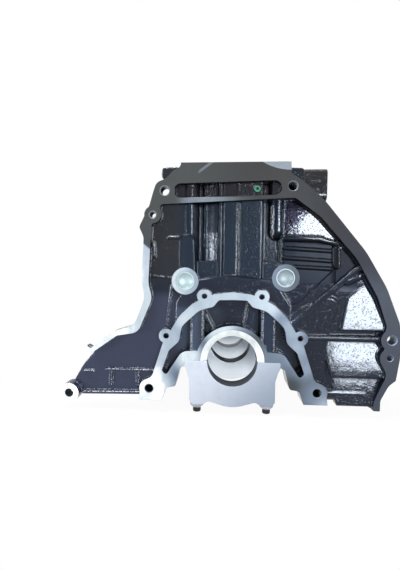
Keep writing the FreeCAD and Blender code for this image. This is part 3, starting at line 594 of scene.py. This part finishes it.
def blockMaterial():
    s = blockSizes
    material, shader, start, at = newMaterial("blackPaintAndBareIron")
    faces = machinedFaces(at)
    bare = faces["bare"]
    mottle = noise(start, at.point, s["mottleSize"], 4.0, 0.6)
    smear = noise(start, at.point, s["smearSize"], 2.0, 0.6, s["smearStretch"])
    metal = ironColour(start, at, faces, milledPaintedLight(start, at, faces, mottle, smear))
    glinted = paintedEdgeGlints(start, at)
    shaded = shadedWeb(start, at)
    rough, matt = paintGloss(start, at, glinted)
    # pale painted glints on the edges, then painted shade on the web above the pad and on the matt places
    paint = mixColour(start, glinted, paintColour(start, at), s["glintColour"])
    paint = mixColour(start, shaded, paint, s["shadePaint"])
    paint = mixColour(start, matt, paint, s["mattShadePaint"])
    metalRough = s["metalRough"] + mottle * s["roughMottle"]
    setLink(start, shader, "Base Color", mixColour(start, bare, paint, metal))
    setLink(start, shader, "Metallic", mixValue(start, bare, matt | shaded, s["metalShare"]))
    setLink(start, shader, "Roughness", mixValue(start, bare, rough, metalRough))
    shader.inputs["Specular IOR Level"].default_value = s["paintShine"]
    shader.inputs["Specular Tint"].default_value = s["paintTint"]
    onPad = at.x.near(*s["padX"]) & at.z.near(*s["padZ"]) & (at.y < s["sideY"])
    edge = mixValue(start, bare | onPad, s["castRadius"], s["cutRadius"])
    setBump(start, shader, surfaceHeight(start, at, faces, smear, onPad), edge)
    return material


# pale and shade are painted light and painted shade; far is the painted brighter caps behind, inBore the
# painted dark bores
capSizes = {"pale": (0.56, 0.61, 0.70, 1), "shade": (0.21, 0.26, 0.33, 1), "far": (0.85, 0.93, 1.0, 1),
            "farFrom": 80.0, "rough": 0.34, "farRough": 0.22, "metallic": 0.6, "farMetallic": 1.0,
            "lean": (0.6, 0.5), "leanRange": (-20.0, 52.0), "boreR": 26.3, "boreShare": 0.75,
            "farBoreShare": 0.95, "inBore": (0.04, 0.046, 0.06, 1), "streakSize": 1.6,
            "streakStretch": (0.08, 1.0, 1.0), "streakShare": 0.15, "streakColour": (0.22, 0.24, 0.28, 1)}


def capMaterial():
    # milled iron with light and shade painted in: painted shade to the lower right, the caps behind the first
    # one painted brighter, the bore surfaces painted dark
    s = capSizes
    material, shader, start, at = newMaterial("milledCapIron")
    streak = noise(start, at.point, s["streakSize"], 3.0, 0.6, s["streakStretch"])
    mottle = noise(start, at.point, 9.0, 4.0, 0.6)
    leanX, leanZ = s["lean"]
    lean = (at.x * leanX - at.z * leanZ).ramp(*s["leanRange"])
    colour = mixColour(start, lean, s["pale"], s["shade"])
    colour = mixColour(start, mottle.ramp(0.35, 0.8) * 0.2, colour, s["shade"])
    isFar = (at.y > s["farFrom"]) & (at.ny < 0.5)
    colour = mixColour(start, isFar, colour, s["far"])
    inBore = ((at.x * at.x + at.z * at.z).math("SQRT") < s["boreR"]) & (at.ny.math("ABSOLUTE") < 0.5)
    inside = inBore * mixValue(start, isFar, s["boreShare"], s["farBoreShare"])
    colour = mixColour(start, inside, colour, s["inBore"])
    colour = mixColour(start, streak * s["streakShare"], colour, s["streakColour"])
    setLink(start, shader, "Base Color", colour)
    setLink(start, shader, "Metallic", mixValue(start, isFar, s["metallic"], s["farMetallic"]))
    setLink(start, shader, "Roughness", mixValue(start, isFar, s["rough"], s["farRough"]) + mottle * 0.15)
    setBump(start, shader, streak * 0.012, 0.0006)
    return material


plugSizes = {"colour": (0.42, 0.53, 0.56, 1), "right": (0.30, 0.37, 0.41, 1), "rightX": (20.0, 40.0),
             "mottle": (0.20, 0.24, 0.27, 1), "rough": 0.48, "metallic": 0.75}


def plugMaterial():
    # pressed steel cups, the one on the right of the gearbox side a little darker as painted shade
    s = plugSizes
    material, shader, start, at = newMaterial("pressedPlugSteel")
    mottle = noise(start, at.point, 3.0, 3.0, 0.6)
    # painted shade on the plug at the right
    colour = mixColour(start, at.x.ramp(*s["rightX"]), s["colour"], s["right"])
    setLink(start, shader, "Base Color", mixColour(start, mottle.ramp(0.35, 0.8) * 0.15, colour, s["mottle"]))
    shader.inputs["Metallic"].default_value = s["metallic"]
    setLink(start, shader, "Roughness", s["rough"] + mottle * 0.12)
    setBump(start, shader, mottle * 0.01, 0.0004)
    return material


steelSizes = {"colour": (0.19, 0.18, 0.175, 1), "darker": 0.65, "rough": 0.22, "metallic": 1.0}


def steelMaterial():
    # dull steel of the dowels and the screwed plugs
    s = steelSizes
    material, shader, start, at = newMaterial("boltSteel")
    mottle = noise(start, at.point, 3.0, 3.0, 0.6)
    dark = tuple(c * s["darker"] for c in s["colour"][:3]) + (1,)
    setLink(start, shader, "Base Color", mixColour(start, mottle.ramp(0.35, 0.8) * 0.5, s["colour"], dark))
    shader.inputs["Metallic"].default_value = s["metallic"]
    setLink(start, shader, "Roughness", s["rough"] + mottle * 0.12)
    setBump(start, shader, mottle * 0.01, 0.0004)
    return material


studSizes = {"colour": (0.34, 0.33, 0.31, 1), "y": 225.0, "z": 30.0, "outerR": 9.5, "pitch": 1.5,
             "groove": (0.09, 0.085, 0.08, 1), "threadDepth": 0.4, "grooveHeight": 0.3, "rough": 0.28,
             "metallic": 0.9}


def studMaterial():
    # steel stud with its thread as rings of bump, and painted shade in the grooves
    s = studSizes
    material, shader, start, at = newMaterial("threadedStudSteel")
    mottle = noise(start, at.point, 2.0, 3.0, 0.6)
    thread = distance(at.y, at.z, s["y"], s["z"]) > s["outerR"] - s["threadDepth"]
    thread = thread * (at.nx.math("ABSOLUTE") < 0.5)
    turn = (at.z - s["z"]).math("ARCTAN2", at.y - s["y"]) / (2 * math.pi) * s["pitch"]
    groove = (at.x + turn).wave(s["pitch"])
    # painted shade in the thread's grooves
    colour = mixColour(start, thread * groove.ramp(0.2, -1.0) * 0.8, s["colour"], s["groove"])
    setLink(start, shader, "Base Color", colour)
    shader.inputs["Metallic"].default_value = s["metallic"]
    setLink(start, shader, "Roughness", s["rough"] + mottle * 0.12)
    setBump(start, shader, groove * thread * s["grooveHeight"])
    return material


greenSizes = {"x": 23.3, "z": 177.8, "socketR": 1.6, "socketEdge": 0.3, "colour": (0.008, 0.17, 0.095, 1),
              "lit": (0.02, 0.26, 0.15, 1), "socketShade": (0.006, 0.05, 0.04, 1), "rough": 0.35}


def greenMaterial():
    # daub of green sealing paint over the little plug, with painted shade in its socket
    s = greenSizes
    material, shader, start, at = newMaterial("greenSealPaint")
    rim = s["socketR"]
    edge = s["socketEdge"]
    middle = distance(at.x, at.z, s["x"], s["z"]).ramp(rim + edge, rim - edge)
    smudge = noise(start, at.point, 1.4, 2.0)
    colour = mixColour(start, smudge.ramp(0.4, 0.75) * 0.5, s["colour"], s["lit"])
    # painted shade in the socket
    setLink(start, shader, "Base Color", mixColour(start, middle, colour, s["socketShade"]))
    setLink(start, shader, "Roughness", s["rough"] + smudge * 0.2)
    setBump(start, shader, smudge * 0.15, 0.0003)
    return material


def dress(name, material):
    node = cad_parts[name]
    node.data.materials.clear()
    node.data.materials.append(material)


def dressAll():
    steel = steelMaterial()
    block = blockMaterial()
    cap = capMaterial()
    plug = plugMaterial()
    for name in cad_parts:
        if name == "cylinder_block":
            dress(name, block)
        elif name.startswith("main_bearing_cap"):
            dress(name, cap)
        elif "core_plug" in name:
            dress(name, plug)
        elif name == "oil_passage_plug":
            dress(name, greenMaterial())
        elif name == "oil_filter_stud":
            dress(name, studMaterial())
        else:
            dress(name, steel)


# sizes in metres of one cap bolt: twelve-point head, conical collar, washer and shank
boltSizes = {"Head Radius": 0.0042, "Flute Radius": 0.0034, "Head Height": 0.0046, "Flange Radius": 0.0072,
             "Flange Height": 0.0030, "Washer Height": 0.0028, "Shank Radius": 0.0045}
boltForm = {"points": 12, "crownShare": 0.12, "crownScale": 0.86, "collarSides": 48, "shankSides": 32}
boltLooks = {"head": (0.035, 0.033, 0.042, 1), "collar": (0.42, 0.44, 0.48, 1), "collarZ": -51.6,
             "mottle": (0.10, 0.10, 0.11, 1), "rough": 0.20, "metallic": 0.85}


def boltMaterial():
    # dark fluted heads under pale collars, the collars' paleness a painted reflection
    s = boltLooks
    material, shader, start, at = newMaterial("capBoltSteel")
    mottle = noise(start, at.point, 3.0, 3.0, 0.6)
    # the pale collar is a painted reflection
    colour = mixColour(start, at.z > s["collarZ"], s["head"], s["collar"])
    setLink(start, shader, "Base Color", mixColour(start, mottle.ramp(0.35, 0.8) * 0.4, colour, s["mottle"]))
    shader.inputs["Metallic"].default_value = s["metallic"]
    setLink(start, shader, "Roughness", s["rough"] + mottle * 0.12)
    setBump(start, shader, mottle * 0.01, 0.0003)
    return material


def boltTree(material, sizes):
    # one bolt hung head down from its seat, set on every point of the mesh it is given
    tree = bpy.data.node_groups.new("capBoltSet", "GeometryNodeTree")
    tree.interface.new_socket("Places", in_out="INPUT", socket_type="NodeSocketGeometry")
    for name in sizes:
        tree.interface.new_socket(name, in_out="INPUT", socket_type="NodeSocketFloat")
    tree.interface.new_socket("Bolts", in_out="OUTPUT", socket_type="NodeSocketGeometry")
    start = Sock(tree, None)
    given = start.node("NodeGroupInput")
    size = {name: Sock(tree, given.outputs[name]) for name in sizes}
    form = boltForm

    def moved(shape, lift):
        shift = start.node("ShaderNodeCombineXYZ", None, {"Z": lift})
        made = start.node("GeometryNodeTransform", None, {"Geometry": Sock(tree, shape),
                                                          "Translation": Sock(tree, shift.outputs[0])})
        return made.outputs[0]

    def rod(sides, radius, length):
        made = start.node("GeometryNodeMeshCylinder", None, {"Vertices": sides, "Radius": size[radius],
                                                             "Depth": size[length]})
        return made.outputs["Mesh"]

    star = start.node("GeometryNodeCurveStar", None, {"Points": form["points"], "Twist": 0.0,
                                                      "Inner Radius": size["Flute Radius"],
                                                      "Outer Radius": size["Head Radius"]})
    face = start.node("GeometryNodeFillCurve", {"mode": "NGONS"},
                      {"Curve": Sock(tree, star.outputs["Curve"])})
    crownHeight = size["Head Height"] * form["crownShare"]
    blockHeight = size["Head Height"] * (1 - form["crownShare"])
    block = start.node("GeometryNodeExtrudeMesh", None, {"Mesh": Sock(tree, face.outputs[0]),
                                                         "Offset Scale": blockHeight})
    crown = start.node("GeometryNodeExtrudeMesh", None, {"Mesh": Sock(tree, block.outputs["Mesh"]),
                                                         "Selection": Sock(tree, block.outputs["Top"]),
                                                         "Offset Scale": crownHeight})
    narrowed = start.node("GeometryNodeScaleElements", {"domain": "FACE"},
                          {"Geometry": Sock(tree, crown.outputs["Mesh"]),
                           "Selection": Sock(tree, crown.outputs["Top"]),
                           "Scale": form["crownScale"]})
    turned = start.node("GeometryNodeTransform", None, {"Geometry": Sock(tree, narrowed.outputs[0]),
                                                        "Rotation": (math.pi, 0.0, 0.0)})
    neck = size["Flange Height"] + size["Washer Height"]
    head = moved(turned.outputs[0], neck * -1.0)
    flange = start.node("GeometryNodeMeshCone", None, {"Vertices": form["collarSides"],
                                                       "Radius Top": size["Flange Radius"],
                                                       "Radius Bottom": size["Head Radius"],
                                                       "Depth": size["Flange Height"]})
    flange = moved(flange.outputs["Mesh"], neck * -1.0)
    washer = moved(rod(form["collarSides"], "Flange Radius", "Washer Height"), size["Washer Height"] * -0.5)
    shank = moved(rod(form["shankSides"], "Shank Radius", "Shank Length"), size["Shank Length"] * 0.5)
    whole = start.node("GeometryNodeJoinGeometry")
    for shape in (shank, washer, flange, head):
        tree.links.new(shape, whole.inputs[0])
    copies = start.node("GeometryNodeInstanceOnPoints", None, {"Points": Sock(tree, given.outputs["Places"]),
                                                               "Instance": Sock(tree, whole.outputs[0])})
    real = start.node("GeometryNodeRealizeInstances", None, {"Geometry": Sock(tree, copies.outputs[0])})
    done = start.node("GeometryNodeSetMaterial", None, {"Geometry": Sock(tree, real.outputs[0]),
                                                        "Material": material})
    result = start.node("NodeGroupOutput")
    tree.links.new(done.outputs[0], result.inputs[0])
    return tree


def addBolts(material):
    # two bolts under every cap, within the box of the solids that they replace
    lows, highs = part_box("main_cap_bolts")
    sizes = dict(boltSizes)
    seatZ = lows[2] + sizes["Head Height"] + sizes["Flange Height"] + sizes["Washer Height"]
    reach = highs[0] - sizes["Flange Radius"]
    sizes["Shank Length"] = highs[2] - seatZ
    places = []
    for number in range(1, 6):
        low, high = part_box("main_bearing_cap_%d" % number)
        places += [(side * reach, (low[1] + high[1]) / 2, seatZ) for side in (-1, 1)]
    seeds = bpy.data.meshes.new("capBoltSeats")
    seeds.from_pydata(places, [], [])
    holder = bpy.data.objects.new("capBoltSeats", seeds)
    bpy.context.scene.collection.objects.link(holder)
    tree = boltTree(material, sizes)
    modifier = holder.modifiers.new("bolts", "NODES")
    modifier.node_group = tree
    for item in tree.interface.items_tree:
        if item.in_out == "INPUT" and item.name in sizes:
            modifier[item.identifier] = sizes[item.name]
    bpy.context.view_layer.update()
    ready = holder.evaluated_get(bpy.context.evaluated_depsgraph_get())
    mesh = bpy.data.meshes.new_from_object(ready)
    holder.modifiers.remove(modifier)
    bpy.data.objects.remove(holder)
    bolts = bpy.data.objects.new("twelvePointCapBolts", mesh)
    bpy.context.scene.collection.objects.link(bolts)
    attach(bolts, "root")
    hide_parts("main_cap_bolts")


# corners in metres of a dark sheet in the block's black paint that closes the slit between the flange's web
# and the cylinder bank: painted shade where the slit shows only shade
shadeSheetSizes = ((0.0470, 0.0140, 0.100), (0.0520, 0.0172, 0.130))


def addShadeSheet():
    (x0, y0, z0), (x1, y1, z1) = shadeSheetSizes
    corners = [(x, y, z) for x in (x0, x1) for y in (y0, y1) for z in (z0, z1)]
    mesh = bpy.data.meshes.new("webShadeSheet")
    sides = [(0, 1, 3, 2), (4, 6, 7, 5), (0, 4, 5, 1), (2, 3, 7, 6), (0, 2, 6, 4), (1, 5, 7, 3)]
    mesh.from_pydata(corners, [], sides)
    mesh.materials.append(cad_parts["cylinder_block"].data.materials[0])
    shadeSheet = bpy.data.objects.new("webShadeSheet", mesh)
    bpy.context.scene.collection.objects.link(shadeSheet)
    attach(shadeSheet, "root")


# camera fitted to the photograph: place in millimetres, angles in degrees, focal length and picture
# height in pixels
cameraSizes = {"place": (-12.418, -347.838, 98.484), "yaw": 3.552, "pitch": -3.159, "roll": 0.515,
               "focal": 340.0, "tall": 570.0}


def addCamera():
    s = cameraSizes
    yaw, pitch, roll = (math.radians(s[k]) for k in ("yaw", "pitch", "roll"))
    ahead = Vector((-math.sin(yaw) * math.cos(pitch), math.cos(yaw) * math.cos(pitch), math.sin(pitch)))
    right = Vector((math.cos(yaw), math.sin(yaw), 0))
    up = right.cross(ahead)
    across = right * math.cos(roll) + up * math.sin(roll)
    above = up * math.cos(roll) - right * math.sin(roll)
    data = bpy.data.cameras.new("photoCamera")
    data.sensor_fit = "VERTICAL"
    data.sensor_height = 36.0
    data.lens = s["focal"] / s["tall"] * data.sensor_height
    data.clip_start = 0.01
    camera = bpy.data.objects.new("photoCamera", data)
    turned = Matrix((across, above, -ahead)).transposed().to_4x4()
    camera.matrix_world = Matrix.Translation(Vector(s["place"]) / 1000) @ turned
    bpy.context.scene.collection.objects.link(camera)
    bpy.context.scene.camera = camera


# lamps: shape, centre in metres, what it faces, width, height, watts
lampSizes = {
    "rightWindow": ("ELLIPSE", (0.69, -2.0, 0.39), (0.08, 0.0, 0.14), 0.42, 0.28, 14.5),
    "farRightWindow": ("RECTANGLE", (0.94, -2.0, 0.24), (0.13, 0.0, 0.03), 0.38, 0.36, 17.0),
    "leftPane": ("RECTANGLE", (-1.70, -1.08, 0.165), (-0.03, 0.0, 0.11), 0.30, 0.28, 15.5),
    "skylight": ("RECTANGLE", (-0.60, -0.37, 1.9), (-0.1, 0.1, 0.0), 0.75, 0.42, 36.0),
}


def addLamps():
    for name, (shape, place, aim, width, height, watts) in lampSizes.items():
        data = bpy.data.lights.new(name, "AREA")
        data.shape = shape
        data.size = width
        data.size_y = height
        data.energy = watts
        lamp = bpy.data.objects.new(name, data)
        away = Vector(place) - Vector(aim)
        lamp.matrix_world = Matrix.Translation(place) @ away.to_track_quat("Z", "Y").to_matrix().to_4x4()
        bpy.context.scene.collection.objects.link(lamp)


# light that the world gives; floor's half width in metres; its shadow's middle and reach in millimetres
backdropSizes = {"dimmed": 0.22, "floorHalf": 3.0, "floorColour": (0.9, 0.9, 0.9, 1), "floorRough": 0.9,
                 "shadowY": 180.0, "shadowReach": (170.0, 320.0), "shadowShare": 0.05}


def seenDirectly(start):
    # 1 for the rays that see the background as such: the camera's, and those of metal and glass
    path = start.node("ShaderNodeLightPath")
    camera, glossy, through = (Sock(start.tree, path.outputs["Is %s Ray" % kind])
                               for kind in ("Camera", "Glossy", "Transmission"))
    return camera | glossy | through


def addWorld():
    world = bpy.data.worlds.new("paleRoom")
    world.use_nodes = True
    start = Sock(world.node_tree, None)
    dimmed = backdropSizes["dimmed"]
    strength = seenDirectly(start) * (1.0 - dimmed) + dimmed
    back = world.node_tree.nodes["Background"]
    back.inputs["Color"].default_value = (1, 1, 1, 1)
    world.node_tree.links.new(strength.out, back.inputs["Strength"])
    bpy.context.scene.world = world


def addFloor(lowest):
    # white to the eye, with a faint shadow near the object
    s = backdropSizes
    half = s["floorHalf"]
    mesh = bpy.data.meshes.new("floor")
    corners = [(-half, -half, lowest), (half, -half, lowest), (half, half, lowest), (-half, half, lowest)]
    mesh.from_pydata(corners, [], [(0, 1, 2, 3)])
    floor = bpy.data.objects.new("floor", mesh)
    bpy.context.scene.collection.objects.link(floor)
    material, shader, start, at = newMaterial("paleFloor")
    shader.inputs["Base Color"].default_value = s["floorColour"]
    shader.inputs["Roughness"].default_value = s["floorRough"]
    shader.inputs["Specular IOR Level"].default_value = 0.0
    glow = start.node("ShaderNodeEmission", None, {"Color": (1, 1, 1, 1), "Strength": 1.0})
    away = distance(at.x, at.y, 0.0, s["shadowY"]).ramp(*s["shadowReach"])
    share = mixValue(start, away, 1.0 - s["shadowShare"], 1.0) * seenDirectly(start)
    mixed = start.node("ShaderNodeMixShader", None, {0: share})
    tree = start.tree
    tree.links.new(shader.outputs[0], mixed.inputs[1])
    tree.links.new(glow.outputs[0], mixed.inputs[2])
    tree.links.new(mixed.outputs[0], tree.nodes["Material Output"].inputs["Surface"])
    mesh.materials.append(material)


dressAll()
print("materials on")
addBolts(boltMaterial())
addShadeSheet()
print("bolts and seam set")
addCamera()
addLamps()
addWorld()
addFloor(cadBounds[0][2])
bpy.context.scene.view_settings.view_transform = "Standard"
print("camera, lamps and floor set")
